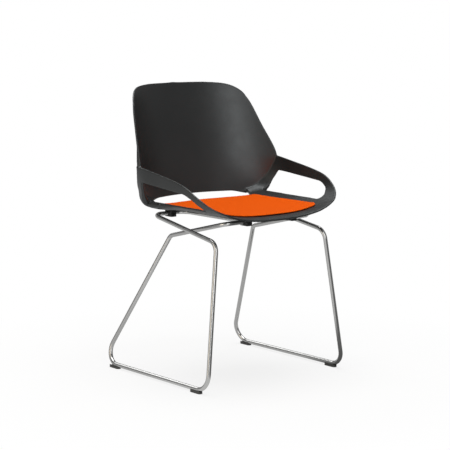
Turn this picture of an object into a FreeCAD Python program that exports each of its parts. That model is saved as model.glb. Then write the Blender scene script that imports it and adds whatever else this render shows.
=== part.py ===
import FreeCAD, Part
import math
import os

import Sketcher

# Sled base visitor chair: a one-piece shell with arm loops on two bent steel rods.
# Millimetres. +Z up, the sitter faces -Y, the floor is at Z = 0.
# Every point is measured from the middle of the two floor rails. The whole chair is
# then placed stand_shift further back, so that the origin lies under its middle.

Vector = FreeCAD.Vector

SIZES = [
    ("stand_shift", 12.0, "chair placed this far along +Y"),
    ("rod_diameter", 12.0, "round steel rod"),
    ("glide_base", 4.2, "plastic under the rail"),
    ("front_foot_x", 241.5, "rail corner at the front, from the middle"),
    ("front_foot_reach", 237.0, "rail corner at the front, forward"),
    ("rear_foot_x", 238.9, "rail corner at the rear, from the middle"),
    ("rear_foot_reach", 236.5, "rail corner at the rear, backward"),
    ("front_knee_x", 190.8, "top of the front leg, from the middle"),
    ("front_knee_reach", 211.6, "top of the front leg, forward"),
    ("front_knee_height", 393.4, "top of the front leg, up"),
    ("rear_knee_x", 148.6, "top of the rear leg, from the middle"),
    ("rear_knee_back", 38.6, "top of the rear leg, backward"),
    ("rear_knee_height", 381.7, "top of the rear leg, up"),
    ("hairpin_x", 184.0, "corner where the rear arm turns inward"),
    ("front_bend_x", 150.0, "corner where the front arm turns inward"),
    ("rear_bar_back", 70.0, "cross bar in the rear clamps, backward"),
    ("front_bar_reach", 199.0, "cross bar in the front clamps, forward"),
    ("bar_height", 439.5, "cross bars above the floor"),
    ("foot_bend", 40.0, "bend radius at the floor"),
    ("front_knee_bend", 32.0, "bend radius on top of the front leg"),
    ("rear_knee_bend", 20.0, "bend radius on top of the rear leg"),
    ("hairpin_bend", 30.0, "bend radius of the rear arm"),
    ("front_arm_bend", 25.0, "bend radius of the front arm"),
    ("run_bend", 33.0, "bend radius of the tie rod"),
    ("run_x", 77.0, "tie rod, from the middle"),
    ("front_flex_offset", 40.0, "front knee corner to the flexing point"),
    ("rear_flex_offset", 25.0, "rear knee corner to the flexing point"),
    ("flex_gap", 0.5, "clear gap where one rod piece ends and the next begins"),
    ("rear_clamp_x", 124.0, "rear clamp, from the middle"),
    ("front_clamp_x", 79.0, "front clamp, from the middle"),
    ("clamp_width", 18.0, "clamp along the bar"),
    ("clamp_front", 15.0, "clamp in front of the bar"),
    ("clamp_back", 15.0, "clamp behind the bar"),
    ("cap_depth", 10.0, "clamp cap below the bar"),
    ("cap_split", 0.3, "gap between saddle and cap"),
    ("flange_width", 24.0, "foot of the rear saddle along the bar"),
    ("flange_height", 7.0, "foot of the rear saddle"),
    ("rear_seat_plane", 455.0, "top face of the rear saddles"),
    ("front_seat_plane", 448.0, "top face of the front saddles"),
    ("bush_wall", 0.8, "polymer bush round the bar"),
    ("bar_clearance", 0.35, "bar to bush, radial"),
    ("screw_setback", 10.8, "clamp screw to the bar"),
    ("screw_diameter", 4.0, "clamp screw shank"),
    ("screw_head", 7.0, "clamp screw head"),
    ("screw_head_height", 3.0, "clamp screw head"),
    ("insert_diameter", 6.0, "brass insert"),
    ("insert_length", 5.0, "brass insert"),
    ("fit_gap", 0.05, "gap between parts that sit on each other"),
    ("glide_length", 36.0, "glide along the rail"),
    ("glide_width", 14.0, "glide across the rail"),
    ("glide_height", 8.0, "glide from the floor up"),
    ("front_glide_reach", 189.0, "middle of the front glide, forward"),
    ("rear_glide_back", 178.0, "middle of the rear glide, backward"),
    ("glide_screw", 3.0, "glide screw shank"),
    ("glide_screw_length", 8.0, "glide screw"),
    ("shell_wall", 4.8, "moulded shell"),
    ("rim_x", 194.0, "half width between the lower edges of the arm loops"),
    ("rim_height", 476.5, "lower edge of the arm loops"),
    ("rim_rise", 3.0, "rise of the seat's side at the slot"),
    ("wall_draw", 0.42, "wall closing in towards the foot of the back, for each mm back"),
    ("arm_x", 243.0, "half width between the arms"),
    ("arm_foot_height", 545.0, "height above which the arm wall is upright"),
    ("dish_height", 451.0, "lowest point of the seat"),
    ("dish_reach", 100.0, "lowest point of the seat, forward"),
    ("dish_front_rise", 3.0, "seat rise from there to the front edge"),
    ("dish_rear_rise", 10.5, "seat rise from there to the rear edge"),
    ("lip_drop", 10.5, "front edge rolled down"),
    ("lip_start", 218.0, "front edge roll starts, forward"),
    ("seat_front", 248.5, "front edge, forward"),
    ("seat_rear", 98.0, "middle of the rear edge, backward"),
    ("slot_half_width", 170.0, "slot under the back"),
    ("back_radius", 302.0, "inner radius of the back across"),
    ("back_foot", 141.0, "lower edge of the back at the middle, backward"),
    ("back_lower", 477.0, "lower edge of the back"),
    ("back_top", 788.5, "upper edge of the back"),
    ("back_lean", 14.2, "lean of the back, degrees"),
    ("back_half_width", 199.5, "back below its upper corners"),
    ("arm_root_height", 577.0, "where the arm meets the back"),
    ("arm_root_back", 46.5, "where the arm meets the back, backward"),
    ("arm_tip_height", 546.0, "arm top before it turns down"),
    ("arm_tip_reach", 127.0, "arm top before it turns down, forward"),
    ("loop_top", 535.0, "arm loop, upper corner at the back"),
    ("loop_drop", 15.5, "fall of the loop's upper edge to the front"),
    ("loop_front", 191.5, "arm loop, front corner, forward"),
    ("loop_rear_top", 36.0, "arm loop, upper rear corner, backward"),
    ("loop_rear_low", 63.0, "arm loop, lower rear corner, backward"),
    ("pad_thickness", 4.6, "seat pad at its crown"),
    ("pad_edge", 2.6, "seat pad at its edge"),
    ("pad_lift", 1.2, "underside of the pad above the shell"),
    ("pad_half_width", 163.0, "seat pad at the rear"),
    ("pad_front_half_width", 167.0, "seat pad at the front"),
    ("pad_front", 226.0, "middle of the pad's front edge, forward"),
    ("pad_rear", 92.0, "middle of the pad's rear edge, backward"),
    ("strip_length", 110.0, "fixing strip under the pad"),
    ("strip_width", 20.0, "fixing strip under the pad"),
    ("strip_gap", 0.15, "fixing strip to shell and to pad"),
]

document = FreeCAD.newDocument("visitor_chair")
sheet = document.addObject("Spreadsheet::Sheet", "Sizes")
for row, (alias, value, note) in enumerate(SIZES, start=1):
    sheet.set("A%d" % row, alias.replace("_", " "))
    sheet.set("B%d" % row, str(value))
    sheet.set("C%d" % row, note)
    sheet.setAlias("B%d" % row, alias)
document.recompute()


class Sizes:
    """The sheet's numbers under their aliases."""


size = Sizes()
for alias, _value, _note in SIZES:
    setattr(size, alias, float(sheet.get(alias)))

ROD_RADIUS = size.rod_diameter / 2
RAIL_HEIGHT = size.glide_base + ROD_RADIUS
BUSH_BORE = ROD_RADIUS + size.bar_clearance
BUSH_OUTER = BUSH_BORE + size.bush_wall
LEAN = math.tan(math.radians(size.back_lean))
SIDES = {"left": 1, "right": -1}

sub_parts = []


def keep(item, label):
    """Name a finished sub-part and stand it where the chair stands."""
    item.Label = label
    base = item.Placement.Base
    item.Placement = FreeCAD.Placement(
        Vector(base.x, base.y + size.stand_shift, base.z), item.Placement.Rotation
    )
    sub_parts.append(item)
    return item


def bind(item, **expressions):
    """Tie properties of an object to cells of the sheet."""
    for name, expression in expressions.items():
        item.setExpression(name, expression)


def smooth(low, high, value):
    """A step that eases in and out between two limits."""
    share = min(1.0, max(0.0, (value - low) / (high - low)))
    return share * share * (3 - 2 * share)


# Bent rods

def mirrored(point, side):
    return Vector(point.x * side, point.y, point.z)


def bent_line(points, radii):
    """A wire of straight runs joined by tangent arcs."""
    edges = []
    start = points[0]
    for before, corner, after, radius in zip(points, points[1:], points[2:], radii):
        inward = (before - corner).normalize()
        outward = (after - corner).normalize()
        half = inward.getAngle(outward) / 2
        setback = radius / math.tan(half)
        middle = (inward + outward).normalize()
        centre = corner + middle * (radius / math.sin(half))
        first = corner + inward * setback
        last = corner + outward * setback
        edges.append(Part.LineSegment(start, first).toShape())
        edges.append(Part.Arc(first, centre - middle * radius, last).toShape())
        start = last
    edges.append(Part.LineSegment(start, points[-1]).toShape())
    return Part.Wire(edges)


def rod(label, points, radii, side):
    """A round rod swept along a bent line."""
    path = document.addObject("Part::Feature", label + "_path")
    path.Shape = bent_line([mirrored(point, side) for point in points], radii)
    start, heading = mirrored(points[0], side), mirrored(points[1] - points[0], side)
    circle = document.addObject("Part::Circle", label + "_section")
    circle.Placement = FreeCAD.Placement(start, FreeCAD.Rotation(Vector(0, 0, 1), heading))
    bind(circle, Radius="Sizes.rod_diameter / 2")
    sweep = document.addObject("Part::Sweep", label)
    sweep.Sections = [circle]
    sweep.Spine = (path, ["Edge%d" % (index + 1) for index in range(len(path.Shape.Edges))])
    sweep.Solid = True
    sweep.Frenet = False
    return sweep


front_foot = Vector(size.front_foot_x, -size.front_foot_reach, RAIL_HEIGHT)
rear_foot = Vector(size.rear_foot_x, size.rear_foot_reach, RAIL_HEIGHT)
front_knee = Vector(size.front_knee_x, -size.front_knee_reach, size.front_knee_height)
rear_knee = Vector(size.rear_knee_x, size.rear_knee_back, size.rear_knee_height)
hairpin = Vector(size.hairpin_x, size.rear_bar_back, size.bar_height)
front_bend = Vector(size.front_bend_x, -size.front_bar_reach, size.bar_height)
rear_bar_end = Vector(size.rear_clamp_x, size.rear_bar_back, size.bar_height)
front_bar_end = Vector(
    size.front_clamp_x - size.clamp_width / 2 + size.flex_gap, -size.front_bar_reach, size.bar_height
)
rear_arm_way = (hairpin - front_knee).normalize()
front_arm_way = (front_bend - rear_knee).normalize()
front_flex = front_knee + rear_arm_way * size.front_flex_offset
rear_flex = rear_knee + front_arm_way * size.rear_flex_offset
HALF_GAP = size.flex_gap / 2
INWARD = Vector(-1, 0, 0)
BACKWARD = Vector(0, 1, 0)
UPWARD = Vector(0, 0, 1)
run_corner = Vector(size.run_x, size.rear_bar_back, size.bar_height)
run_end = Vector(
    size.run_x, -size.front_bar_reach + BUSH_OUTER + size.bush_wall, size.bar_height
)


def rail_screw_spots(side):
    """Where the glide screws enter a rail, on the rail's own line."""
    spots = []
    for y in (-size.front_glide_reach, size.rear_glide_back):
        share = (y - front_foot.y) / (rear_foot.y - front_foot.y)
        spots.append(mirrored(front_foot + (rear_foot - front_foot) * share, side))
    return spots


for side_name, side in SIDES.items():
    sled = rod(
        side_name + "_sled_rod_blank",
        [front_flex - rear_arm_way * HALF_GAP, front_knee, front_foot, rear_foot, rear_knee,
         rear_flex - front_arm_way * HALF_GAP],
        [size.front_knee_bend, size.foot_bend, size.foot_bend, size.rear_knee_bend],
        side,
    )
    drills = []
    for spot in rail_screw_spots(side):
        drill = document.addObject("Part::Cylinder", side_name + "_rail_hole")
        bind(drill, Radius="Sizes.glide_screw / 2 + Sizes.fit_gap", Height="Sizes.glide_screw_length")
        drill.Placement.Base = Vector(spot.x, spot.y, 1.0)
        drills.append(drill)
    holes = document.addObject("Part::MultiFuse", side_name + "_rail_holes")
    holes.Shapes = drills
    drilled = document.addObject("Part::Cut", side_name + "_sled_rod")
    drilled.Base = sled
    drilled.Tool = holes
    keep(drilled, side_name + "_sled_rod")
    keep(
        rod(side_name + "_rear_arm",
            [front_flex + rear_arm_way * HALF_GAP, hairpin, rear_bar_end - INWARD * HALF_GAP],
            [size.hairpin_bend], side),
        side_name + "_rear_arm",
    )
    keep(
        rod(side_name + "_front_arm",
            [rear_flex + front_arm_way * HALF_GAP, front_bend, front_bar_end],
            [size.front_arm_bend], side),
        side_name + "_front_arm",
    )
    keep(
        rod(side_name + "_tie_rod",
            [rear_bar_end + INWARD * HALF_GAP, run_corner, run_end],
            [size.run_bend], side),
        side_name + "_tie_rod",
    )


# Turned and moulded small pieces, drawn in their own bodies

def body_sketch(label, role):
    """A body and a sketch on one of its own planes."""
    body = document.addObject("PartDesign::Body", label)
    plane = [item for item in body.Origin.OriginFeatures if item.Role == role][0]
    sketch = body.newObject("Sketcher::SketchObject", label + "_sketch")
    sketch.AttachmentSupport = [(plane, "")]
    sketch.MapMode = "FlatFace"
    return body, sketch


def sketch_circle(sketch, radius, expression):
    """A circle on the sketch's own centre, its radius from the sheet."""
    index = sketch.addGeometry(Part.Circle(Vector(0, 0, 0), UPWARD, radius), False)
    sketch.addConstraint(Sketcher.Constraint("Coincident", index, 3, -1, 1))
    mark = sketch.addConstraint(Sketcher.Constraint("Radius", index, radius))
    sketch.setExpression("Constraints[%d]" % mark, expression)


def ring_body(label, role, outer, bore, length, middle):
    """A plain sleeve; outer, bore and length are expressions with their values."""
    body, sketch = body_sketch(label, role)
    sketch_circle(sketch, outer[1], outer[0])
    sketch_circle(sketch, bore[1], bore[0])
    pad = body.newObject("PartDesign::Pad", label + "_pad")
    pad.Profile = sketch
    pad.Midplane = middle
    bind(pad, Length=length)
    sketch.Visibility = False
    return body


def screw_body(label, shank, head, head_height, length):
    """A pan head screw, head down, shank up from the origin; revolved about Z."""
    body, sketch = body_sketch(label, "XZ_Plane")
    outline = [(0, -head_height), (head * 0.40, -head_height), (head / 2, -head_height * 0.55),
               (head / 2, 0), (shank / 2, 0), (shank / 2, length - shank * 0.2),
               (shank * 0.3, length), (0, length)]
    for (x1, z1), (x2, z2) in zip(outline, outline[1:] + outline[:1]):
        sketch.addGeometry(Part.LineSegment(Vector(x1, z1, 0), Vector(x2, z2, 0)), False)
    turned = body.newObject("PartDesign::Revolution", label + "_revolution")
    turned.Profile = sketch
    turned.ReferenceAxis = (sketch, ["V_Axis"])
    turned.Angle = 360
    return body


def group(label, members):
    """Identical fasteners kept together as one node of separate solids."""
    bundle = document.addObject("Part::Compound", label)
    bundle.Links = members
    return keep(bundle, label)


CLAMPS = {
    "rear": (size.rear_clamp_x, size.rear_bar_back, size.rear_seat_plane),
    "front": (size.front_clamp_x, -size.front_bar_reach, size.front_seat_plane),
}


def block(label, low, high):
    """A box between two corners."""
    item = document.addObject("Part::Box", label)
    item.Length = high.x - low.x
    item.Width = high.y - low.y
    item.Height = high.z - low.z
    item.Placement.Base = low
    return item


def bar_cutter(label, centre, radius, length, way):
    """A round cutter about a point, along a given way."""
    item = document.addObject("Part::Cylinder", label)
    item.Radius = radius
    item.Height = length
    turn = FreeCAD.Rotation(UPWARD, way)
    item.Placement = FreeCAD.Placement(centre - way * (length / 2), turn)
    return item


def cut(label, base, tools):
    """A base with several tools taken away."""
    joined = document.addObject("Part::MultiFuse", label + "_tools")
    joined.Shapes = tools
    result = document.addObject("Part::Cut", label)
    result.Base = base
    result.Tool = joined
    return result


def rounded_block(label, low, high, radius):
    """A box with its four upright edges rounded."""
    base = block(label + "_block", low, high)
    document.recompute()
    upright = []
    for index, edge in enumerate(base.Shape.Edges, start=1):
        if abs(edge.tangentAt(edge.FirstParameter).z) > 0.9:
            upright.append((index, radius, radius))
    item = document.addObject("Part::Fillet", label + "_rounded")
    item.Base = base
    item.Edges = upright
    return item


def screw_spots(side, end_name, level):
    """Screw positions of one clamp; the front one grips the tie rod behind its bar instead."""
    x, y, _plane = CLAMPS[end_name]
    offsets = (-size.screw_setback, size.screw_setback)
    if end_name == "front":
        offsets = offsets[:1]
    return [Vector(side * x, y + offset, level) for offset in offsets]


def clamp(side_name, side, end_name):
    """Saddle, cap and bush on one bar, with screws and inserts."""
    x, y, plane = CLAMPS[end_name]
    name = "%s_%s" % (end_name, side_name)
    centre = Vector(side * x, y, size.bar_height)
    half = size.clamp_width / 2
    split = size.cap_split / 2
    corner = 2.0
    body_low = Vector(centre.x - half, y - size.clamp_front, size.bar_height + split)
    body_high = Vector(centre.x + half, y + size.clamp_back, plane - size.fit_gap)
    saddle = rounded_block(name + "_saddle", body_low, body_high, corner)
    if end_name == "rear":
        foot_half = size.flange_width / 2
        foot = rounded_block(
            name + "_foot",
            Vector(centre.x - foot_half, body_low.y - 1.5, plane - size.flange_height),
            Vector(centre.x + foot_half, body_high.y + 1.5, body_high.z),
            corner,
        )
        joined = document.addObject("Part::MultiFuse", name + "_saddle_body")
        joined.Shapes = [saddle, foot]
        saddle = joined
    cap = rounded_block(
        name + "_cap",
        Vector(body_low.x, body_low.y, size.bar_height - size.cap_depth),
        Vector(body_high.x, body_high.y, size.bar_height - split),
        corner,
    )
    bar_length = size.clamp_width + 2
    hole_spots = screw_spots(side, end_name, size.bar_height)
    hole_radius = size.screw_diameter / 2 + size.fit_gap
    for piece, label in ((saddle, "saddle"), (cap, "cap")):
        tools = [
            bar_cutter(name + "_bore", centre, BUSH_OUTER + size.fit_gap, 3 * bar_length, INWARD),
        ]
        for spot in hole_spots:
            tools.append(bar_cutter(name + "_screw_hole", spot, hole_radius, 60.0, UPWARD))
        if end_name == "front":
            grip = Vector(side * size.run_x, y + size.clamp_back, size.bar_height)
            tools.append(bar_cutter(name + "_grip", grip, ROD_RADIUS + size.fit_gap,
                                    2 * (grip.y - run_end.y + size.fit_gap), BACKWARD))
        if label == "cap":
            for spot in hole_spots:
                low = Vector(spot.x, spot.y, size.bar_height - size.cap_depth)
                tools.append(bar_cutter(name + "_head_seat", low, size.screw_head / 2 + 0.2,
                                        2 * (size.screw_head_height + 0.4), UPWARD))
        keep(cut("%s_%s" % (name, label), piece, tools), "%s_clamp_%s" % (name, label))
    bush = ring_body(name + "_bush", "YZ_Plane",
                     ("Sizes.rod_diameter / 2 + Sizes.bar_clearance + Sizes.bush_wall", BUSH_OUTER),
                     ("Sizes.rod_diameter / 2 + Sizes.bar_clearance", BUSH_BORE),
                     "Sizes.clamp_width", True)
    bush.Placement.Base = centre
    keep(bush, name + "_bush")
    seat_of_head = size.bar_height - size.cap_depth + size.screw_head_height + 0.4
    length = plane + size.insert_length - seat_of_head
    for spot in hole_spots:
        screw = screw_body(name + "_clamp_screw", size.screw_diameter, size.screw_head,
                           size.screw_head_height, length)
        screw.Placement.Base = Vector(spot.x, spot.y, seat_of_head)
        clamp_screws.append(screw)
        insert = ring_body(name + "_insert", "XY_Plane",
                           ("Sizes.insert_diameter / 2", size.insert_diameter / 2),
                           ("Sizes.screw_diameter / 2 + Sizes.fit_gap",
                            size.screw_diameter / 2 + size.fit_gap),
                           "Sizes.insert_length", False)
        insert.Placement.Base = Vector(spot.x, spot.y, plane)
        clamp_inserts.append(insert)


clamp_screws = []
clamp_inserts = []
for side_name, side in SIDES.items():
    for end_name in CLAMPS:
        clamp(side_name, side, end_name)
group("clamp_screws", clamp_screws)
group("threaded_inserts", clamp_inserts)


# Glides under the rails

def glide(label, spot):
    """A plastic foot that cradles the rail; its underside is the chair's resting face."""
    low = Vector(spot.x - size.glide_width / 2, spot.y - size.glide_length / 2, 0)
    high = Vector(spot.x + size.glide_width / 2, spot.y + size.glide_length / 2, size.glide_height)
    base = rounded_block(label, low, high, size.glide_width / 2 - 1)
    way = (rear_foot - front_foot).normalize()
    way = Vector(math.copysign(way.x, way.x * spot.x), way.y, way.z)
    screw_room = size.glide_screw / 2 + size.fit_gap
    tools = [
        bar_cutter(label + "_cradle", Vector(spot.x, spot.y, RAIL_HEIGHT),
                   ROD_RADIUS + size.fit_gap, 3 * size.glide_length, way),
        bar_cutter(label + "_hole", Vector(spot.x, spot.y, 0), screw_room, 40.0, UPWARD),
        bar_cutter(label + "_head_seat", Vector(spot.x, spot.y, 0),
                   size.glide_screw + 0.2, 2 * (size.glide_base / 2), UPWARD),
    ]
    return keep(cut(label + "_cut", base, tools), label)


glide_screws = []
for side_name, side in SIDES.items():
    for end_name, spot in zip(("front", "rear"), rail_screw_spots(side)):
        glide("%s_%s_glide" % (end_name, side_name), spot)
        head_height = size.glide_base / 2 - 0.5
        screw = screw_body("%s_%s_glide_screw" % (end_name, side_name), size.glide_screw,
                           2 * size.glide_screw, head_height,
                           size.glide_screw_length - size.glide_base / 2)
        screw.Placement.Base = Vector(spot.x, spot.y, size.glide_base / 2)
        glide_screws.append(screw)
group("glide_screws", glide_screws)


# The shell: seat and arm walls

SEAT_POWER = 3.6
LIP_RUN = 30.0
TOP_MARGIN = 60.0


def rim(y):
    return size.rim_height + size.rim_rise * smooth(size.loop_rear_low - 3, size.pad_rear + 3, y)


def dish(y):
    """Height of the seat on its middle line."""
    if y < -size.dish_reach:
        run = (y + size.dish_reach) / (size.lip_start + 6 - size.dish_reach)
        return size.dish_height + size.dish_front_rise * run * run
    run = (y + size.dish_reach) / (size.pad_rear + size.dish_reach)
    return size.dish_height + size.dish_rear_rise * run * run


def seat_height(x, y):
    """Upper face of the seat between the rims."""
    share = abs(x) / size.rim_x
    roll = max(0.0, -size.lip_start - y) / LIP_RUN
    fade = max(0.0, 1 - (x / (size.rim_x - 6)) ** 2)
    depth = rim(y) - dish(y)
    return rim(y) - depth * (1 - share ** SEAT_POWER) - size.lip_drop * roll * roll * fade


def draw_in(y, z):
    """How far the wall closes in towards the foot of the back, at one station and height."""
    level = z - size.rim_height
    start = size.loop_rear_low - 6 - 37 * (1 - math.exp(-level / 26))
    upper = max(0.0, level - 18.5) / (size.arm_root_height + 3 - size.rim_height - 18.5)
    slope = size.wall_draw * (1 - min(1.0, upper) ** 1.6)
    ease = 6.0
    return slope * ease * math.log(1 + math.exp((y - start) / ease)) * smooth(-16, 1, level)


def wall_points(y, count):
    """The wall's section above the rim, as a curve and an upright run."""
    angle = math.atan((rim(y) - dish(y)) * SEAT_POWER / size.rim_x)
    corners = (
        (size.rim_x, rim(y)),
        (size.rim_x + 30 * math.cos(angle), rim(y) + 30 * math.sin(angle)),
        (size.arm_x, size.arm_foot_height - 38),
        (size.arm_x, size.arm_foot_height),
    )
    points = []
    for index in range(count):
        share = index / (count - 1)
        rest = 1 - share
        weights = (rest ** 3, 3 * share * rest ** 2, 3 * share ** 2 * rest, share ** 3)
        points.append(tuple(
            sum(weight * corner[axis] for weight, corner in zip(weights, corners))
            for axis in (0, 1)))
    for lift in (20.0, 40.0, TOP_MARGIN):
        points.append((size.arm_x, size.arm_foot_height + lift))
    return points


def seat_section(y, count=6):
    """Half of the seat's section across, from the middle to the top of the wall."""
    floor = [size.rim_x * share for share in (0, 0.18, 0.36, 0.52, 0.66, 0.78, 0.89)]
    points = [(x, seat_height(x, y)) for x in floor] + wall_points(y, count)
    return [(x - draw_in(y, z), z) for x, z in points]


def spanned(rows):
    """A smooth surface through rows of points given for one half."""
    grid = []
    for half in rows:
        grid.append([Vector(-p.x, p.y, p.z) for p in reversed(half[1:])] + half)
    surface = Part.BSplineSurface()
    surface.interpolate(grid)
    return surface.toShape()


def curve(points):
    line = Part.BSplineCurve()
    line.interpolate(points)
    return line.toShape()


def straight(first, last):
    return Part.LineSegment(first, last).toShape()


def thickened(face):
    """A wall of even thickness on the outer side of a face."""
    wall = face.Faces[0].makeOffsetShape(size.shell_wall, 0.01, fill=True)
    if wall.Volume < 0:
        wall.reverse()
    return wall


FAR = 400.0


def side_point(y, z):
    return Vector(-FAR, y, z)


def rounded_outline(points, radii):
    """A closed outline with every corner rounded."""
    corners = []
    count = len(points)
    for index, (corner, radius) in enumerate(zip(points, radii)):
        inward = (points[index - 1] - corner).normalize()
        outward = (points[(index + 1) % count] - corner).normalize()
        half = inward.getAngle(outward) / 2
        middle = (inward + outward).normalize()
        reach = radius / math.tan(half)
        centre = corner + middle * (radius / math.sin(half))
        corners.append((corner + inward * reach, centre - middle * radius, corner + outward * reach))
    edges = []
    for index, (first, middle, last) in enumerate(corners):
        edges.append(Part.Arc(first, middle, last).toShape())
        edges.append(straight(last, corners[(index + 1) % count][0]))
    return Part.Wire(edges)


def back_line(z):
    """Inner face of the back on the middle line."""
    return size.back_foot + (z - size.back_lower) * LEAN


def back_face(x, z):
    """Inner face of the back: round across, flatter at its lower sides."""
    radius = size.back_radius
    below = max(0.0, size.arm_root_height + 8 - z)
    spread = 0.31 * below * below / (below + 12)
    out = max(0.0, min(1.3, (abs(x) - 100) / 118))
    return back_line(z) - radius + math.sqrt(radius * radius - x * x) + spread * out * out


# The arm wall runs this far into the back, so that the two overlap.
LAP = 6.0


def wall_x(y, z):
    """Half width between the walls at one station and height."""
    points = seat_section(y, 24)
    for (x1, z1), (x2, z2) in zip(points, points[1:]):
        if z1 <= z <= z2:
            return x1 + (x2 - x1) * (z - z1) / (z2 - z1)
    return points[-1][0]


def crease_point(z):
    """Where the inner faces of wall and back meet at one height."""
    near, far = size.slot_half_width - 10, size.arm_x + 5
    for _step in range(30):
        middle = (near + far) / 2
        if wall_x(back_face(middle, z), z) > middle:
            near = middle
        else:
            far = middle
    return near, back_face(near, z), z


CREASE = [crease_point(size.arm_root_height - drop) for drop in (0, 14, 29, 45, 62, 78, 90, 96)]


def tub_outline():
    """Side view of the seat and arms: arm top, rolled front, and the crease behind."""
    fall = size.arm_root_height - size.arm_tip_height
    run = size.arm_root_back + size.arm_tip_reach
    top = [side_point(size.arm_root_back - run * share, size.arm_root_height - fall * drop)
           for share, drop in ((-0.035, -0.033), (0.22, 0.21), (0.48, 0.45), (0.75, 0.71), (1, 1))]
    tip = top[-1]
    front = -size.seat_front
    nose = [tip] + [side_point(front + y, tip.z - z) for y, z in (
        (97.5, 7), (79.5, 15), (60.5, 26.5), (46, 36), (33, 46), (21.5, 56), (10.5, 66), (3.5, 76))]
    nose.append(side_point(front, tip.z - 89))
    below = side_point(front, FAR)
    behind = [side_point(y + LAP, z) for _x, y, z in reversed(CREASE[1:])]
    behind = [side_point(behind[0].y + 2, behind[0].z - 8)] + behind + [top[0]]
    corner = side_point(behind[0].y, FAR)
    return Part.Wire([curve(top), curve(nose), straight(nose[-1], below), straight(below, corner),
                      straight(corner, behind[0]), curve(behind)])


def loop_outline():
    low = size.rim_height + 0.6
    fall_end = size.loop_front - 48.5
    points = [
        side_point(size.loop_rear_top, size.loop_top),
        side_point(-fall_end, size.loop_top - size.loop_drop),
        side_point(-(size.loop_front - 21.5), size.loop_top - 29.5),
        side_point(-size.loop_front, low),
        side_point(size.loop_rear_low, low + 2.5),
    ]
    return rounded_outline(points, [5, 60, 25, 8, 5])


def slot_outline():
    """Top view of the seat's rear edge and the ends of the slot."""
    radius = size.back_radius
    side = size.slot_half_width - 23
    level = 300.0
    edge_back = size.seat_rear - side * side / (2 * radius)
    end = [Vector(side, edge_back, level), Vector(side + 12, edge_back + 3.5, level),
           Vector(side + 21, edge_back + 16, level), Vector(side + 23, edge_back + 33, level)]
    other = [Vector(-p.x, p.y, p.z) for p in reversed(end)]
    far_back = size.back_foot + 20
    right = Vector(end[-1].x, far_back, level)
    left = Vector(-right.x, far_back, level)
    front = Part.Arc(other[-1], Vector(0, size.seat_rear, level), end[0]).toShape()
    return Part.Wire([front, curve(end), straight(end[-1], right), straight(right, left),
                      straight(left, other[0]), curve(other)])


SEAT_STATIONS = (-252, -244, -236, -226, -210, -180, -140, -100, -60, -20, 15, 40, 60, 80, 108)
seat_rows = []
for station in SEAT_STATIONS:
    seat_rows.append([Vector(x, station, z) for x, z in seat_section(station)])
seat_face = spanned(seat_rows)
across = Vector(2 * FAR, 0, 0)
seat_face = seat_face.common(Part.Face(tub_outline()).extrude(across))
seat_face = seat_face.cut(Part.Face(loop_outline()).extrude(across))
seat_face = seat_face.cut(Part.Face(slot_outline()).extrude(UPWARD * (size.back_lower + 6 - 300.0)))
tub = thickened(seat_face)


# The shell: back

def front_point(x, z, side=1):
    return Vector(side * x, -FAR, z)


def back_outline():
    """Front view of the back, from one crease over the top to the other."""
    top = size.back_top
    half = size.back_half_width
    root = size.arm_root_height - LAP
    side_top = top - 43
    rise = side_top - root
    flank = [(size.arm_x - (size.arm_x - half) * share, root + rise * up)
             for share, up in ((0, 0), (0.17, 0.28), (0.38, 0.47), (0.56, 0.65), (0.80, 0.88), (1, 1))]
    crown = [(half, side_top), (half - 7.5, top - 28.5), (half - 20, top - 17), (half - 39, top - 8.3),
             (half - 66, top - 3.9), (half - 114, top - 1.3), (0, top)]
    crease = [(x - 1, z) for x, _y, z in reversed(CREASE[1:])] + [flank[0]]
    crease = [(crease[0][0] - 3, size.back_lower)] + crease
    edges = []
    for side in (1, -1):
        for points in (crease, flank, crown):
            edges.append(curve([front_point(x, z, side) for x, z in points]))
    foot = crease[0]
    edges.append(straight(front_point(foot[0], foot[1], 1), front_point(foot[0], foot[1], -1)))
    return Part.Wire(Part.__sortEdges__(edges))


BACK_STATIONS = (-22, -7, 8, 23, 38, 53, 68, 83, 98, 113, 133, 163, 203, 243, 283, 323)
BACK_COLUMNS = (0, 30, 60, 90, 120, 150, 180, 205, 225, 240, 255)
back_rows = []
for station in BACK_STATIONS:
    level = size.back_lower + station
    back_rows.append([Vector(x, back_face(x, level), level) for x in BACK_COLUMNS])
back_blank = spanned(back_rows)
back_blank = back_blank.common(Part.Face(back_outline()).extrude(Vector(0, 2 * FAR, 0)))
back = thickened(back_blank)


# Soft and moulded pieces that follow the seat

def filled(lower, upper, columns, rows):
    """A solid between two height functions over a rectangle."""
    faces = []
    for height in (lower, upper):
        grid = [[Vector(x, y, height(x, y)) for x in columns] for y in rows]
        surface = Part.BSplineSurface()
        surface.interpolate(grid)
        faces.append(surface)
    low, high = faces
    skirt = []
    u0, u1, v0, v1 = low.bounds()
    for pick in (("u", u0), ("u", u1), ("v", v0), ("v", v1)):
        edges = []
        for surface in faces:
            curve_on = surface.uIso(pick[1]) if pick[0] == "u" else surface.vIso(pick[1])
            edges.append(curve_on.toShape())
        skirt.append(Part.makeRuledSurface(edges[0], edges[1]))
    shell = Part.makeShell([low.toShape(), high.toShape()] + skirt)
    shell.sewShape()
    solid = Part.makeSolid(Part.Shell(shell.Faces))
    if solid.Volume < 0:
        solid.reverse()
    return solid


def spread_points(low, high, count):
    return [low + (high - low) * index / (count - 1) for index in range(count)]


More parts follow.
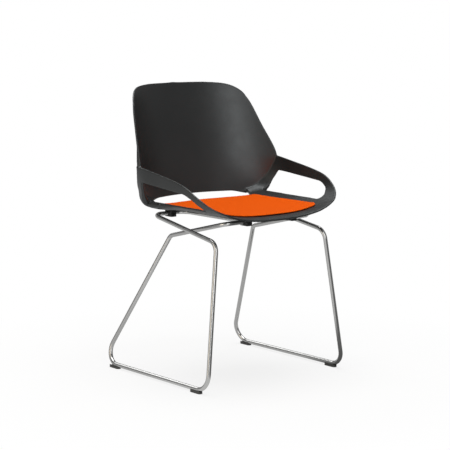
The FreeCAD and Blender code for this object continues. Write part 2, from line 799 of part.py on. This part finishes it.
def boss(side, end_name):
    """A block under the seat that a saddle is screwed to, with its blind insert hole."""
    x, y, plane = CLAMPS[end_name]
    width = size.flange_width if end_name == "rear" else size.clamp_width
    low = Vector(side * x - width / 2, y - size.clamp_front - 1, plane)
    high = Vector(side * x + width / 2, y + size.clamp_back + 1, plane + 30)
    columns = spread_points(low.x, high.x, 6)
    rows = spread_points(low.y, high.y, 6)
    base = filled(lambda u, v: plane, lambda u, v: seat_height(u, v) - size.shell_wall / 5,
                  columns, rows)
    return base


def insert_hole(spot):
    return Part.makeCylinder(size.insert_diameter / 2 + size.fit_gap,
                             5 + size.insert_length + size.fit_gap, spot - UPWARD * 5, UPWARD)


shell_shape = tub.fuse(back)
for side in SIDES.values():
    for end_name in CLAMPS:
        shell_shape = shell_shape.fuse(boss(side, end_name))
for side in SIDES.values():
    for end_name in CLAMPS:
        for spot in screw_spots(side, end_name, CLAMPS[end_name][2]):
            shell_shape = shell_shape.cut(insert_hole(spot))
shell = document.addObject("Part::Feature", "seat_shell")
shell.Shape = shell_shape.Solids[0]
keep(shell, "seat_shell")


def pad_outline():
    """Top view of the seat pad: arched rear edge, straight sides, bowed front edge."""
    level = 300.0
    rear, front = size.pad_half_width, size.pad_front_half_width
    rear_back = size.pad_rear - rear * rear / (2 * size.back_radius)
    front_reach = -size.pad_front
    side = [Vector(rear, rear_back, level), Vector(rear + 3, rear_back - 60, level),
            Vector(front + 2.5, rear_back - 150, level), Vector(front + 1, front_reach + 46, level)]
    corner = [side[-1], Vector(front - 1, front_reach + 26, level),
              Vector(front - 10, front_reach + 16, level), Vector(front - 28, front_reach + 12.5, level)]
    bow = [corner[-1], Vector(front - 80, front_reach + 4.5, level), Vector(0, front_reach, level)]
    edges = []
    for points in (side, corner, bow):
        for turn in (1, -1):
            edges.append(curve([Vector(turn * p.x, p.y, p.z) for p in points]))
    edges.append(Part.Arc(Vector(-rear, rear_back, level), Vector(0, size.pad_rear, level),
                          Vector(rear, rear_back, level)).toShape())
    return Part.Wire(Part.__sortEdges__(edges))


def pad_top(x, y):
    """Upper face of the pad: full in the middle, drawn down at the edges."""
    across_share = min(1.0, abs(x) / size.pad_half_width)
    middle = (size.pad_rear - size.pad_front) / 2
    along_share = min(1.0, abs(y - middle) / ((size.pad_rear + size.pad_front) / 2))
    fullness = (1 - across_share ** 6) * (1 - along_share ** 8)
    thickness = size.pad_edge + (size.pad_thickness - size.pad_edge) * fullness
    return seat_height(x, y) + size.pad_lift + thickness


pad_columns = spread_points(-size.pad_half_width - 12, size.pad_half_width + 12, 27)
pad_rows = spread_points(-size.pad_front - 6, size.pad_rear + 6, 27)
pad_blank = filled(lambda x, y: seat_height(x, y) + size.pad_lift, pad_top, pad_columns, pad_rows)
pad = document.addObject("Part::Feature", "seat_pad")
pad.Shape = pad_blank.common(Part.Face(pad_outline()).extrude(UPWARD * 400)).Solids[0]
keep(pad, "seat_pad")

strips = []
for x in (-95.0, 95.0):
    for y in (-150.0, 10.0):
        blank = filled(
            lambda u, v: seat_height(u, v) + size.strip_gap,
            lambda u, v: seat_height(u, v) + size.pad_lift - size.strip_gap,
            spread_points(x - size.strip_width / 2, x + size.strip_width / 2, 5),
            spread_points(y - size.strip_length / 2, y + size.strip_length / 2, 9),
        )
        strip = document.addObject("Part::Feature", "pad_strip")
        strip.Shape = blank
        strips.append(strip)
group("pad_fixing_strips", strips)


# Check everything, then write one file for each sub-part

document.recompute()
for item in document.Objects:
    if "Invalid" in item.State or "Error" in item.State:
        raise RuntimeError("%s: %s" % (item.Label, item.State))
for item in sub_parts:
    if item.Shape.isNull() or not item.Shape.isValid() or not item.Shape.Solids:
        raise RuntimeError(item.Label + " has no valid shape")

os.makedirs("parts", exist_ok=True)
for item in sub_parts:
    item.Shape.exportStep(os.path.join("parts", item.Label + ".step"))
    box = item.Shape.BoundBox
    print("%-28s solids %2d  volume %11.1f  y %8.1f %8.1f  z %7.1f %7.1f" % (
        item.Label, len(item.Shape.Solids), item.Shape.Volume, box.YMin, box.YMax, box.ZMin, box.ZMax))
for name, point in (("front flex", front_flex), ("rear flex", rear_flex),
                    ("rear bar", rear_bar_end), ("front bar", front_bar_end)):
    print("%-12s y %8.3f  z %8.3f" % (name, point.y + size.stand_shift, point.z))
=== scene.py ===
import math

import bmesh
import bpy
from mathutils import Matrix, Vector
from mathutils.kdtree import KDTree


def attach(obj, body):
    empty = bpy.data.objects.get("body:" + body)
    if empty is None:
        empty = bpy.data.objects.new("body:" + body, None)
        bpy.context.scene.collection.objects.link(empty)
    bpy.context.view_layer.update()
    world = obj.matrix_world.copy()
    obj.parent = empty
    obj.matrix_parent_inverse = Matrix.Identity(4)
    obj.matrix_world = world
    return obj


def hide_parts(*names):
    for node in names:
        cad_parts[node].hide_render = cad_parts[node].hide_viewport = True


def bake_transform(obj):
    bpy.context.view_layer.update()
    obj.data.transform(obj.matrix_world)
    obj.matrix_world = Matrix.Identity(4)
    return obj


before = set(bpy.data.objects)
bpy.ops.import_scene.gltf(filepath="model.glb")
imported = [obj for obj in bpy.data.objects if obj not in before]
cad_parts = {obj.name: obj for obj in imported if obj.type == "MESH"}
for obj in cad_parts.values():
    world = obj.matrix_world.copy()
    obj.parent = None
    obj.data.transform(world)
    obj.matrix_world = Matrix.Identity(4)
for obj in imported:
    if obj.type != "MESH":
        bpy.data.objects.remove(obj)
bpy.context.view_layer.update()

# Sled base visitor chair. Metres, +Z up, the sitter faces -Y.
# Points of the rods are measured from the middle of the floor rails.

STAND_SHIFT = 0.012
ROD_RADIUS = 0.006
RAIL_HEIGHT = 0.0102
BAR_HEIGHT = 0.4395
FRONT_FOOT = Vector((0.2415, -0.237, RAIL_HEIGHT))
REAR_FOOT = Vector((0.2389, 0.2365, RAIL_HEIGHT))
FRONT_KNEE = Vector((0.1908, -0.2116, 0.3934))
REAR_KNEE = Vector((0.1486, 0.0386, 0.3817))
HAIRPIN = Vector((0.184, 0.070, BAR_HEIGHT))
FRONT_BEND = Vector((0.150, -0.199, BAR_HEIGHT))
REAR_BAR_END = Vector((0.124, 0.070, BAR_HEIGHT))
FRONT_BAR_END = Vector((0.0706, -0.199, BAR_HEIGHT))
TIE_CORNER = Vector((0.077, 0.070, BAR_HEIGHT))
TIE_END = Vector((0.077, -0.191, BAR_HEIGHT))
RAIL_SPLIT = FRONT_FOOT.lerp(REAR_FOOT, 0.5)
SIDES = {"left": 1, "right": -1}
ENDS = ("front", "rear")


# Small helpers

def deselect():
    if bpy.context.object and bpy.context.object.mode != "OBJECT":
        bpy.ops.object.mode_set(mode="OBJECT")
    bpy.ops.object.select_all(action="DESELECT")


def activate(piece):
    deselect()
    piece.select_set(True)
    bpy.context.view_layer.objects.active = piece


def copy_of(nodes, name):
    """One new piece with the merged meshes of some frame nodes."""
    copies = []
    for node in nodes:
        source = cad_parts[node]
        piece = source.copy()
        piece.data = source.data.copy()
        piece.parent = None
        piece.matrix_world = source.matrix_world.copy()
        bpy.context.scene.collection.objects.link(piece)
        copies.append(piece)
    deselect()
    for piece in copies:
        piece.select_set(True)
    bpy.context.view_layer.objects.active = copies[0]
    if len(copies) > 1:
        bpy.ops.object.join()
    piece = bpy.context.view_layer.objects.active
    bpy.ops.object.transform_apply(location=True, rotation=True, scale=True)
    piece.name = name
    piece.data.name = name
    piece.data.materials.clear()
    bpy.ops.object.mode_set(mode="EDIT")
    bpy.ops.mesh.select_all(action="SELECT")
    bpy.ops.mesh.remove_doubles(threshold=0.00001)
    bpy.ops.mesh.customdata_custom_splitnormals_clear()
    bpy.ops.object.mode_set(mode="OBJECT")
    return piece


def apply_modifier(piece, kind, **settings):
    activate(piece)
    modifier = piece.modifiers.new(kind.title(), kind)
    for key, value in settings.items():
        setattr(modifier, key, value)
    bpy.ops.object.modifier_apply(modifier=modifier.name)


def finish_piece(piece, material, body):
    piece.data.materials.clear()
    piece.data.materials.append(material)
    if body:
        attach(piece, body)


# Materials

class Surface:
    """A material with its shader and a few ways to feed it."""

    def __init__(self, name, colour, roughness, metallic=0.0):
        self.material = bpy.data.materials.new(name)
        self.material.use_nodes = True
        self.nodes = self.material.node_tree.nodes
        self.links = self.material.node_tree.links
        self.shader = self.nodes["Principled BSDF"]
        self.shader.inputs["Base Color"].default_value = (*colour, 1)
        self.shader.inputs["Roughness"].default_value = roughness
        self.shader.inputs["Metallic"].default_value = metallic
        self.place = self.nodes.new("ShaderNodeTexCoord").outputs["Object"]

    def set(self, socket, value):
        self.shader.inputs[socket].default_value = value
        return self

    def noise(self, scale, detail=4.0, roughness=0.55, stretch=None):
        place = self.place
        if stretch:
            mapping = self.nodes.new("ShaderNodeMapping")
            mapping.inputs["Scale"].default_value = stretch
            self.links.new(place, mapping.inputs["Vector"])
            place = mapping.outputs["Vector"]
        texture = self.nodes.new("ShaderNodeTexNoise")
        texture.inputs["Scale"].default_value = scale
        texture.inputs["Detail"].default_value = detail
        texture.inputs["Roughness"].default_value = roughness
        self.links.new(place, texture.inputs["Vector"])
        return texture.outputs["Fac"]

    def spread(self, value, low, high, to_low, to_high):
        """Maps one range of a value to another."""
        node = self.nodes.new("ShaderNodeMapRange")
        node.inputs["From Min"].default_value = low
        node.inputs["From Max"].default_value = high
        node.inputs["To Min"].default_value = to_low
        node.inputs["To Max"].default_value = to_high
        self.links.new(value, node.inputs["Value"])
        return node.outputs["Result"]

    def mix(self, value, first, second):
        """A colour between two, by a value."""
        node = self.nodes.new("ShaderNodeMix")
        node.data_type = "RGBA"
        for socket, colour in ((node.inputs[6], first), (node.inputs[7], second)):
            if isinstance(colour, tuple):
                socket.default_value = (*colour, 1)
            else:
                self.links.new(colour, socket)
        self.links.new(value, node.inputs[0])
        return node.outputs[2]

    def feed(self, socket, value):
        self.links.new(value, self.shader.inputs[socket])
        return self

    def bump(self, value, strength, distance):
        node = self.nodes.new("ShaderNodeBump")
        node.inputs["Strength"].default_value = strength
        node.inputs["Distance"].default_value = distance
        self.links.new(value, node.inputs["Height"])
        before = self.shader.inputs["Normal"]
        if before.is_linked:
            self.links.new(before.links[0].from_socket, node.inputs["Normal"])
        self.links.new(node.outputs["Normal"], before)
        return self


def anthracite_plastic():
    """Satin moulded shell with a fine mould grain and faint handling marks."""
    s = Surface("anthracite_plastic", (0.0136, 0.0142, 0.0138), 0.42)
    cloud = s.noise(9.0, 3.0)
    shade = s.spread(cloud, 0.35, 0.65, 0, 1)
    s.feed("Base Color", s.mix(shade, (0.0126, 0.0132, 0.0128), (0.0154, 0.0160, 0.0156)))
    s.feed("Roughness", s.spread(s.noise(38.0, 5.0), 0.3, 0.7, 0.36, 0.42))
    s.set("Specular IOR Level", 0.9).set("Specular Tint", (0.93, 0.98, 1.0, 1))
    s.bump(s.noise(2600.0, 2.0), 0.10, 0.0003)
    return s.material


def orange_felt():
    """Short dense wool felt: mottled fibres, soft sheen, a matt nap."""
    s = Surface("orange_felt", (0.87, 0.11, 0.004), 0.92)
    fibre = s.noise(900.0, 6.0, 0.7, (1.0, 2.2, 1.0))
    patch = s.noise(60.0, 4.0, 0.6)
    light = s.mix(s.spread(fibre, 0.35, 0.68, 0, 1), (0.78, 0.080, 0.002), (0.98, 0.145, 0.008))
    s.feed("Base Color", s.mix(s.spread(patch, 0.3, 0.7, 0, 0.45), light, (0.85, 0.100, 0.003)))
    s.set("Sheen Weight", 0.08).set("Sheen Roughness", 0.55)
    s.set("Sheen Tint", (1.0, 0.4, 0.1, 1))
    s.set("Specular IOR Level", 0.02)
    s.bump(fibre, 0.55, 0.0006)
    s.bump(s.noise(2400.0, 3.0), 0.25, 0.0002)
    return s.material


def bright_chrome():
    """Polished plating with faint draw marks and a trace of wear."""
    s = Surface("bright_chrome", (0.70, 0.70, 0.69), 0.2, 1.0)
    s.feed("Roughness", s.spread(s.noise(24.0, 3.0), 0.35, 0.7, 0.19, 0.225))
    return s.material


def moulded_nylon(name, colour, roughness):
    """Glass-filled nylon with a spark-eroded mould texture."""
    s = Surface(name, colour, roughness)
    s.feed("Roughness", s.spread(s.noise(300.0, 3.0), 0.3, 0.7, roughness - 0.06, roughness + 0.08))
    s.bump(s.noise(1800.0, 3.0), 0.25, 0.0002)
    return s.material


def zinc_steel():
    """Zinc-plated screws."""
    s = Surface("zinc_steel", (0.50, 0.50, 0.51), 0.3, 1.0)
    s.feed("Roughness", s.spread(s.noise(500.0, 4.0), 0.3, 0.7, 0.22, 0.40))
    s.bump(s.noise(1500.0, 2.0), 0.1, 0.0001)
    return s.material


def turned_brass():
    """Turned inserts with fine tool marks."""
    s = Surface("turned_brass", (0.75, 0.55, 0.25), 0.3, 1.0)
    s.feed("Roughness", s.spread(s.noise(700.0, 3.0), 0.3, 0.7, 0.22, 0.38))
    return s.material


def hook_fastener():
    """Black hook tape between pad and shell."""
    s = Surface("hook_fastener", (0.02, 0.02, 0.02), 0.8)
    s.feed("Base Color", s.mix(s.noise(1200.0, 2.0), (0.012, 0.012, 0.012), (0.04, 0.04, 0.04)))
    s.bump(s.noise(1600.0, 2.0), 0.6, 0.0004)
    return s.material


shell_finish = anthracite_plastic()
felt_finish = orange_felt()
chrome_finish = bright_chrome()
clamp_finish = moulded_nylon("clamp_nylon", (0.012, 0.012, 0.012), 0.45)
glide_finish = moulded_nylon("glide_nylon", (0.075, 0.075, 0.074), 0.5)
bush_finish = moulded_nylon("bush_polymer", (0.08, 0.08, 0.08), 0.5)
screw_finish = zinc_steel()
insert_finish = turned_brass()
fastener_finish = hook_fastener()


# Moulded shell, from the frame's own solid: an even fine mesh with rounded rims

SHELL_VOXEL = 0.0013
SHELL_TRIANGLES = 190000
SHARP = math.radians(24)
SAMPLE_STEP = 0.001
FACETS = {"rounds": 170, "near": 0.0035, "far": 0.011}
FILLED_FORMS = {"rounds": 110, "near": 0.012, "far": 0.026}
RIM_ROUNDS = 12


def ease(low, high, value):
    """A smooth step from 0 at low to 1 at high."""
    share = min(1.0, max(0.0, (value - low) / (high - low)))
    return share * share * (3 - 2 * share)


def rim_points(piece):
    """Points along the sharp edges of a piece, in a tree for quick distances."""
    mesh = bmesh.new()
    mesh.from_mesh(piece.data)
    points = []
    for edge in mesh.edges:
        if len(edge.link_faces) != 2 or edge.calc_face_angle(0) > SHARP:
            first, last = (vertex.co for vertex in edge.verts)
            steps = max(1, math.ceil((last - first).length / SAMPLE_STEP))
            points += [first.lerp(last, step / steps) for step in range(steps + 1)]
    mesh.free()
    tree = KDTree(len(points))
    for index, point in enumerate(points):
        tree.insert(point, index)
    tree.balance()
    return tree


def even_out(piece, rims, rounds, near, far):
    """Smooths what lies far from a piece's rims and leaves what lies near them."""
    group = piece.vertex_groups.new(name="open_surface")
    for vertex in piece.data.vertices:
        weight = ease(near, far, rims.find(vertex.co)[2])
        if weight > 0:
            group.add([vertex.index], weight, "REPLACE")
    apply_modifier(piece, "SMOOTH", factor=0.5, iterations=rounds, vertex_group=group.name)
    piece.vertex_groups.remove(piece.vertex_groups[group.name])


# The rear corner's outside. Reaches are measured along OUTWARD, heights from the floor.
OUTWARD = Vector((0.772, 0.636, 0))
CORNER_REACH = 0.2290
CORNER_FOOT = 0.472
CORNER_FULL = 0.535
CORNER_DROP = 0.026
CORNER_ROUND = 2.6
CORNER_FADE = (0.460, 0.480)
CORNER_TOP = 0.70
CORNER_SPREAD = (0.034, 0.005)
ARM_TOP = 0.577
ARM_FADE = (ARM_TOP - 0.006, ARM_TOP + 0.010)
SLAB = 0.004


def corner_target(z):
    """How far out the outer corner of the back stands, measured along OUTWARD."""
    below = max(0.0, CORNER_FULL - z) / (CORNER_FULL - CORNER_FOOT)
    return CORNER_REACH - CORNER_DROP * below ** CORNER_ROUND


def fill_corner(piece):
    """Lets the outer wall run past the foot of the back in one full upright curve."""
    reach = {}
    places = []
    for vertex in piece.data.vertices:
        x, y, z = vertex.co
        out = OUTWARD.x * abs(x) + OUTWARD.y * (y - STAND_SHIFT)
        slab = int(z / SLAB)
        places.append((out, slab))
        if y > 0:
            reach[slab] = max(reach.get(slab, 0.0), out)
    gaps = {}
    for slab in reach:
        z = (slab + 0.5) * SLAB
        near = [reach.get(slab + step, reach[slab]) for step in (-2, -1, 0, 1, 2)]
        gaps[slab] = max(0.0, corner_target(z) - sum(near) / 5) * ease(*CORNER_FADE, z)
    moves = []
    for vertex, (out, slab) in zip(piece.data.vertices, places):
        z = vertex.co.z
        if vertex.co.y < 0 or slab not in gaps or z > CORNER_TOP:
            continue
        level = z / SLAB - 0.5
        first = math.floor(level)
        along = level - first
        gap = gaps.get(first, 0.0) * (1 - along) + gaps.get(first + 1, 0.0) * along
        if gap <= 0:
            continue
        side = 1 if vertex.co.x > 0 else -1
        normal = Vector((vertex.normal.x * side, vertex.normal.y, 0))
        rim = ease(*ARM_FADE, z)
        facing = (1 - rim) * ease(0.0, 0.45, normal.dot(OUTWARD)) + rim * ease(-0.35, 0.6, normal.y)
        share = facing * ease(reach[slab] - CORNER_SPREAD[0], reach[slab] - CORNER_SPREAD[1], out)
        way = OUTWARD.lerp(Vector((0, 1 / OUTWARD.y, 0)), rim)
        moves.append((vertex, Vector((way.x * side, way.y, 0)) * gap * share))
    for vertex, move in moves:
        vertex.co += move


FOOT_DEPTH = 0.0115
FOOT_WIDTH = (0.125, 0.185)
FOOT_LENGTH = (-0.06, 0.05)
FOOT_HEIGHT = (0.512, 0.478)
FOOT_FACING = (0.1, 0.6)


def deepen_foot(piece):
    """Gives the rear corners of the seat their deep rounded underside."""
    moves = []
    for vertex in piece.data.vertices:
        x, y, z = vertex.co
        y -= STAND_SHIFT
        side = 1 if x > 0 else -1
        normal = vertex.normal
        down = -normal.z * 0.85 + normal.x * side * 0.5 - max(0.0, normal.y) * 0.4
        amount = (ease(*FOOT_WIDTH, abs(x)) * ease(*FOOT_LENGTH, y) * ease(*FOOT_HEIGHT, z)
                  * ease(*FOOT_FACING, down))
        if amount > 0:
            moves.append((vertex, normal * FOOT_DEPTH * amount))
    for vertex, move in moves:
        vertex.co += move


def moulded_shell():
    """The shell, with its fuller rear corners."""
    shell = copy_of(["seat_shell"], "moulded_shell")
    rims = rim_points(shell)
    apply_modifier(shell, "REMESH", mode="VOXEL", voxel_size=SHELL_VOXEL, use_smooth_shade=True)
    even_out(shell, rims, **FACETS)
    fill_corner(shell)
    deepen_foot(shell)
    even_out(shell, rims, **FILLED_FORMS)
    apply_modifier(shell, "SMOOTH", factor=0.5, iterations=RIM_ROUNDS)
    count = sum(len(polygon.vertices) - 2 for polygon in shell.data.polygons)
    apply_modifier(shell, "DECIMATE", ratio=min(1.0, SHELL_TRIANGLES / count))
    activate(shell)
    bpy.ops.object.shade_smooth()
    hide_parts("seat_shell")
    finish_piece(shell, shell_finish, "seat")


PAD_VOXEL = 0.0016
PAD_ROUNDS = 4


def felt_pad():
    """The pad, with the softly rounded edge of cut felt."""
    pad = copy_of(["seat_pad"], "felt_pad")
    apply_modifier(pad, "REMESH", mode="VOXEL", voxel_size=PAD_VOXEL, use_smooth_shade=True)
    apply_modifier(pad, "SMOOTH", factor=0.5, iterations=PAD_ROUNDS)
    activate(pad)
    bpy.ops.object.shade_smooth()
    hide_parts("seat_pad")
    finish_piece(pad, felt_finish, "seat")


# Bent rods

BEND_STEPS = 14
ROUND_STEPS = 32
RUN_STEP = 0.006
FRONT_BENDS = [0.040, 0.032, 0.030]
REAR_BENDS = [0.040, 0.020, 0.025]
TIE_BEND = 0.033


def bent_path(points, radii, side):
    """Points along straight runs joined by tangent arcs, with the chair's shift."""
    points = [Vector((p.x * side, p.y + STAND_SHIFT, p.z)) for p in points]
    path = [points[0]]
    for before, corner, after, radius in zip(points, points[1:], points[2:], radii):
        inward = (before - corner).normalized()
        outward = (after - corner).normalized()
        half = inward.angle(outward) / 2
        first = corner + inward * (radius / math.tan(half))
        centre = corner + (inward + outward).normalized() * (radius / math.sin(half))
        start = first - centre
        axis = inward.cross(outward).normalized()
        turn = math.pi - 2 * half
        for step in range(BEND_STEPS + 1):
            angle = -turn * step / BEND_STEPS
            spoke = start * math.cos(angle) + axis.cross(start) * math.sin(angle)
            path.append(centre + spoke)
    path.append(points[-1])
    return path


def tube(name, path):
    """A round solid rod along a path, made from a curve and turned into a mesh."""
    line = bpy.data.curves.new(name, "CURVE")
    line.dimensions = "3D"
    line.bevel_depth = ROD_RADIUS
    line.bevel_resolution = ROUND_STEPS // 4 - 2
    line.use_fill_caps = True
    spline = line.splines.new("POLY")
    spline.points.add(len(path) - 1)
    for knot, point in zip(spline.points, path):
        knot.co = (*point, 1)
    piece = bpy.data.objects.new(name, line)
    bpy.context.scene.collection.objects.link(piece)
    activate(piece)
    bpy.ops.object.convert(target="MESH")
    piece = bpy.context.object
    piece.name = name
    bpy.ops.object.shade_smooth_by_angle(angle=math.radians(50))
    return piece


def subdivided(path, longest):
    """The same path with its long straight runs cut shorter."""
    result = [path[0]]
    for first, last in zip(path, path[1:]):
        steps = max(1, math.ceil((last - first).length / longest))
        result += [first.lerp(last, step / steps) for step in range(1, steps + 1)]
    return result


def flexing_rod(side_name, side, label, points, radii, nodes):
    """A chrome rod along a bent path, in the place of the frame nodes it covers."""
    path = subdivided(bent_path(points, radii, side), RUN_STEP)
    piece = tube("%s_%s_rod" % (side_name, label), path)
    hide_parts(*nodes)
    finish_piece(piece, chrome_finish, None)
    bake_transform(piece)


front_leg = [RAIL_SPLIT, FRONT_FOOT, FRONT_KNEE, HAIRPIN, REAR_BAR_END]
rear_leg = [RAIL_SPLIT, REAR_FOOT, REAR_KNEE, FRONT_BEND, FRONT_BAR_END]

for side_name, side in SIDES.items():
    flexing_rod(side_name, side, "front_leg", front_leg, FRONT_BENDS,
                [side_name + "_sled_rod", side_name + "_rear_arm"])
    flexing_rod(side_name, side, "rear_leg", rear_leg, REAR_BENDS,
                [side_name + "_front_arm"])
    tie = tube(side_name + "_tie", bent_path([REAR_BAR_END, TIE_CORNER, TIE_END], [TIE_BEND], side))
    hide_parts(side_name + "_tie_rod")
    finish_piece(tie, chrome_finish, "seat")


# Clamps and glides: the frame's solids with moulded edges

CLAMP_EDGE = 0.0007
GLIDE_EDGE = 0.0008
GLIDE_STRETCH = 1.18


def softened(node, name, edge, material, body):
    """A copy of a node with rounded edges, in the node's place."""
    piece = copy_of([node], name)
    activate(piece)
    bpy.ops.object.mode_set(mode="EDIT")
    bpy.ops.mesh.select_all(action="SELECT")
    bpy.ops.mesh.dissolve_limited(angle_limit=math.radians(4))
    bpy.ops.object.mode_set(mode="OBJECT")
    apply_modifier(piece, "BEVEL", width=edge, segments=3, limit_method="ANGLE",
                   angle_limit=math.radians(50), harden_normals=False)
    activate(piece)
    bpy.ops.object.shade_smooth_by_angle(angle=math.radians(35))
    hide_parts(node)
    finish_piece(piece, material, body)
    return piece


def lengthen(piece, factor):
    """Stretches a piece along the rail about its own middle."""
    places = [vertex.co.y for vertex in piece.data.vertices]
    middle = (min(places) + max(places)) / 2
    for vertex in piece.data.vertices:
        vertex.co.y = middle + (vertex.co.y - middle) * factor


for side_name in SIDES:
    for end in ENDS:
        name = "%s_%s" % (end, side_name)
        for part in ("saddle", "cap"):
            softened("%s_clamp_%s" % (name, part), "%s_%s" % (name, part), CLAMP_EDGE,
                     clamp_finish, "seat")
        foot = softened(name + "_glide", name + "_foot", GLIDE_EDGE,
                        glide_finish, "frame")
        lengthen(foot, GLIDE_STRETCH)

moulded_shell()
felt_pad()


# Nodes that keep the frame's own mesh

NODE_FINISH = {"clamp_screws": screw_finish, "glide_screws": screw_finish,
               "threaded_inserts": insert_finish, "pad_fixing_strips": fastener_finish}
for side_name in SIDES:
    for end in ENDS:
        NODE_FINISH["%s_%s_bush" % (end, side_name)] = bush_finish
for node, material in NODE_FINISH.items():
    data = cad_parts[node].data
    if not data.materials:
        data.materials.append(material)
    for index in range(len(data.materials)):
        data.materials[index] = material


# Floor, lamps and camera

WORLD_LIGHT = 0.22
FLOOR_SIZE = 60
FLOOR_BOUNCE = (0.45, 0.45, 0.45)
FLOOR_GLOW = 0.80
GLOW_NEAR, GLOW_FAR = 0.40, 0.95
GLOSS_SHARE = 0.9
GLOSS_GLOW, GLOSS_DARK, GLOSS_LIGHT = 0.50, 0.09, 0.66
DARK_SIDE = (0.40, -0.92, 0)
LIGHT_SIDE = (-0.82, -0.57, 0)


def seen_directly(nodes, links, otherwise, seen_value):
    """One value for what the camera sees, also through glass, and another for all else."""
    path = nodes.new("ShaderNodeLightPath")
    seen = nodes.new("ShaderNodeMath")
    seen.operation = "MAXIMUM"
    links.new(path.outputs["Is Camera Ray"], seen.inputs[0])
    links.new(path.outputs["Is Transmission Ray"], seen.inputs[1])
    strength = nodes.new("ShaderNodeMapRange")
    strength.inputs["To Min"].default_value = otherwise
    strength.inputs["To Max"].default_value = seen_value
    links.new(seen.outputs[0], strength.inputs["Value"])
    return strength.outputs["Result"]


def studio_floor():
    """A pale floor that keeps the chair's shadow near it and runs out to white.

    For gloss rays it glows as a painted reflection: what gloss mirrors of it is darker on one side
    and lighter on the other.
    """
    deselect()
    bpy.ops.mesh.primitive_plane_add(size=FLOOR_SIZE, location=(0, 0, 0))
    floor = bpy.context.object
    floor.name = "studio_floor"
    s = Surface("white_floor", (0.80, 0.80, 0.80), 0.9)
    s.set("Specular IOR Level", 0.0)
    seen = seen_directly(s.nodes, s.links, 0.0, 1.0)
    pale = s.mix(s.noise(3.0, 2.0), (0.94, 0.94, 0.94), (0.96, 0.96, 0.96))
    s.feed("Base Color", s.mix(seen, FLOOR_BOUNCE, pale))
    distance = s.nodes.new("ShaderNodeVectorMath")
    distance.operation = "LENGTH"
    s.links.new(s.place, distance.inputs[0])
    share = s.spread(distance.outputs["Value"], GLOW_NEAR, GLOW_FAR, FLOOR_GLOW, 1.0)
    # Painted reflection: gloss rays see the floor glow, dimmer toward DARK_SIDE and brighter toward
    # LIGHT_SIDE, so the chrome mirrors a dark band and a light band
    path = s.nodes.new("ShaderNodeLightPath")
    glossy = s.spread(path.outputs["Is Glossy Ray"], 0, 1, 0.0, GLOSS_SHARE)
    amount = s.nodes.new("ShaderNodeMath")
    amount.operation = "MULTIPLY_ADD"
    s.links.new(share, amount.inputs[0])
    s.links.new(seen, amount.inputs[1])
    s.links.new(glossy, amount.inputs[2])
    glow = s.nodes.new("ShaderNodeEmission")
    heading = s.nodes.new("ShaderNodeVectorMath")
    heading.operation = "NORMALIZE"
    s.links.new(s.place, heading.inputs[0])
    lobes = []
    for way, change in ((DARK_SIDE, GLOSS_DARK - GLOSS_GLOW), (LIGHT_SIDE, GLOSS_LIGHT - GLOSS_GLOW)):
        toward = s.nodes.new("ShaderNodeVectorMath")
        toward.operation = "DOT_PRODUCT"
        toward.inputs[1].default_value = way
        s.links.new(heading.outputs["Vector"], toward.inputs[0])
        lobes.append(s.spread(toward.outputs["Value"], 0.6, 0.9, 0.0, change))
    mirrored = s.nodes.new("ShaderNodeMath")
    s.links.new(lobes[0], mirrored.inputs[0])
    s.links.new(lobes[1], mirrored.inputs[1])
    mirrored = s.spread(mirrored.outputs[0], -1, 1, GLOSS_GLOW - 1, GLOSS_GLOW + 1)
    strength = s.nodes.new("ShaderNodeMix")
    strength.inputs[2].default_value = 1.0
    s.links.new(path.outputs["Is Glossy Ray"], strength.inputs[0])
    s.links.new(mirrored, strength.inputs[3])
    s.links.new(strength.outputs[0], glow.inputs["Strength"])
    blend = s.nodes.new("ShaderNodeMixShader")
    s.links.new(amount.outputs[0], blend.inputs[0])
    s.links.new(s.shader.outputs[0], blend.inputs[1])
    s.links.new(glow.outputs[0], blend.inputs[2])
    s.links.new(blend.outputs[0], s.nodes["Material Output"].inputs["Surface"])
    floor.data.materials.append(s.material)


studio_floor()

world = bpy.data.worlds.new("studio")
bpy.context.scene.world = world
world.use_nodes = True
sky = world.node_tree.nodes["Background"]
sky.inputs["Color"].default_value = (1, 1, 1, 1)
world.node_tree.links.new(
    seen_directly(world.node_tree.nodes, world.node_tree.links, WORLD_LIGHT, 1.0),
    sky.inputs["Strength"])

AIM = Vector((0.0122, STAND_SHIFT, 0.4003))
EYE = Vector((-2.7769, -3.3861 + STAND_SHIFT, 1.0323))


def pointed(location, target):
    """The turn that makes a lamp or a camera at one place look at another."""
    return (Vector(target) - Vector(location)).to_track_quat("-Z", "Y").to_euler()


def softbox(name, location, target, size, power, tint=(1, 1, 1)):
    """A rectangular lamp."""
    data = bpy.data.lights.new(name, "AREA")
    data.shape = "RECTANGLE"
    data.size, data.size_y = size
    data.energy = power
    data.color = tint
    lamp = bpy.data.objects.new(name, data)
    bpy.context.scene.collection.objects.link(lamp)
    lamp.location = location
    lamp.rotation_euler = pointed(location, target)


softbox("strip", (-1.75, -3.4, 1.85), (0.1, 0.1, 0.62), (1.7, 3.2), 33)
softbox("overhead", (0.1, 0.2, 5.0), (0, 0, 0.4), (3.6, 3.6), 172)
softbox("behind", (0.2, 4.2, 3.4), (0, 0, 0.3), (4.0, 1.2), 26)
softbox("side", (-3.2, 0.2, 1.3), (0, 0, 0.4), (2.2, 2.6), 19, (1.0, 0.88, 0.72))

camera_data = bpy.data.cameras.new("camera")
camera_data.sensor_width = 36
camera_data.lens = 127.6
camera = bpy.data.objects.new("camera", camera_data)
bpy.context.scene.collection.objects.link(camera)
camera.location = EYE
camera.rotation_euler = pointed(EYE, AIM)
bpy.context.scene.camera = camera
bpy.context.scene.view_settings.view_transform = "Standard"
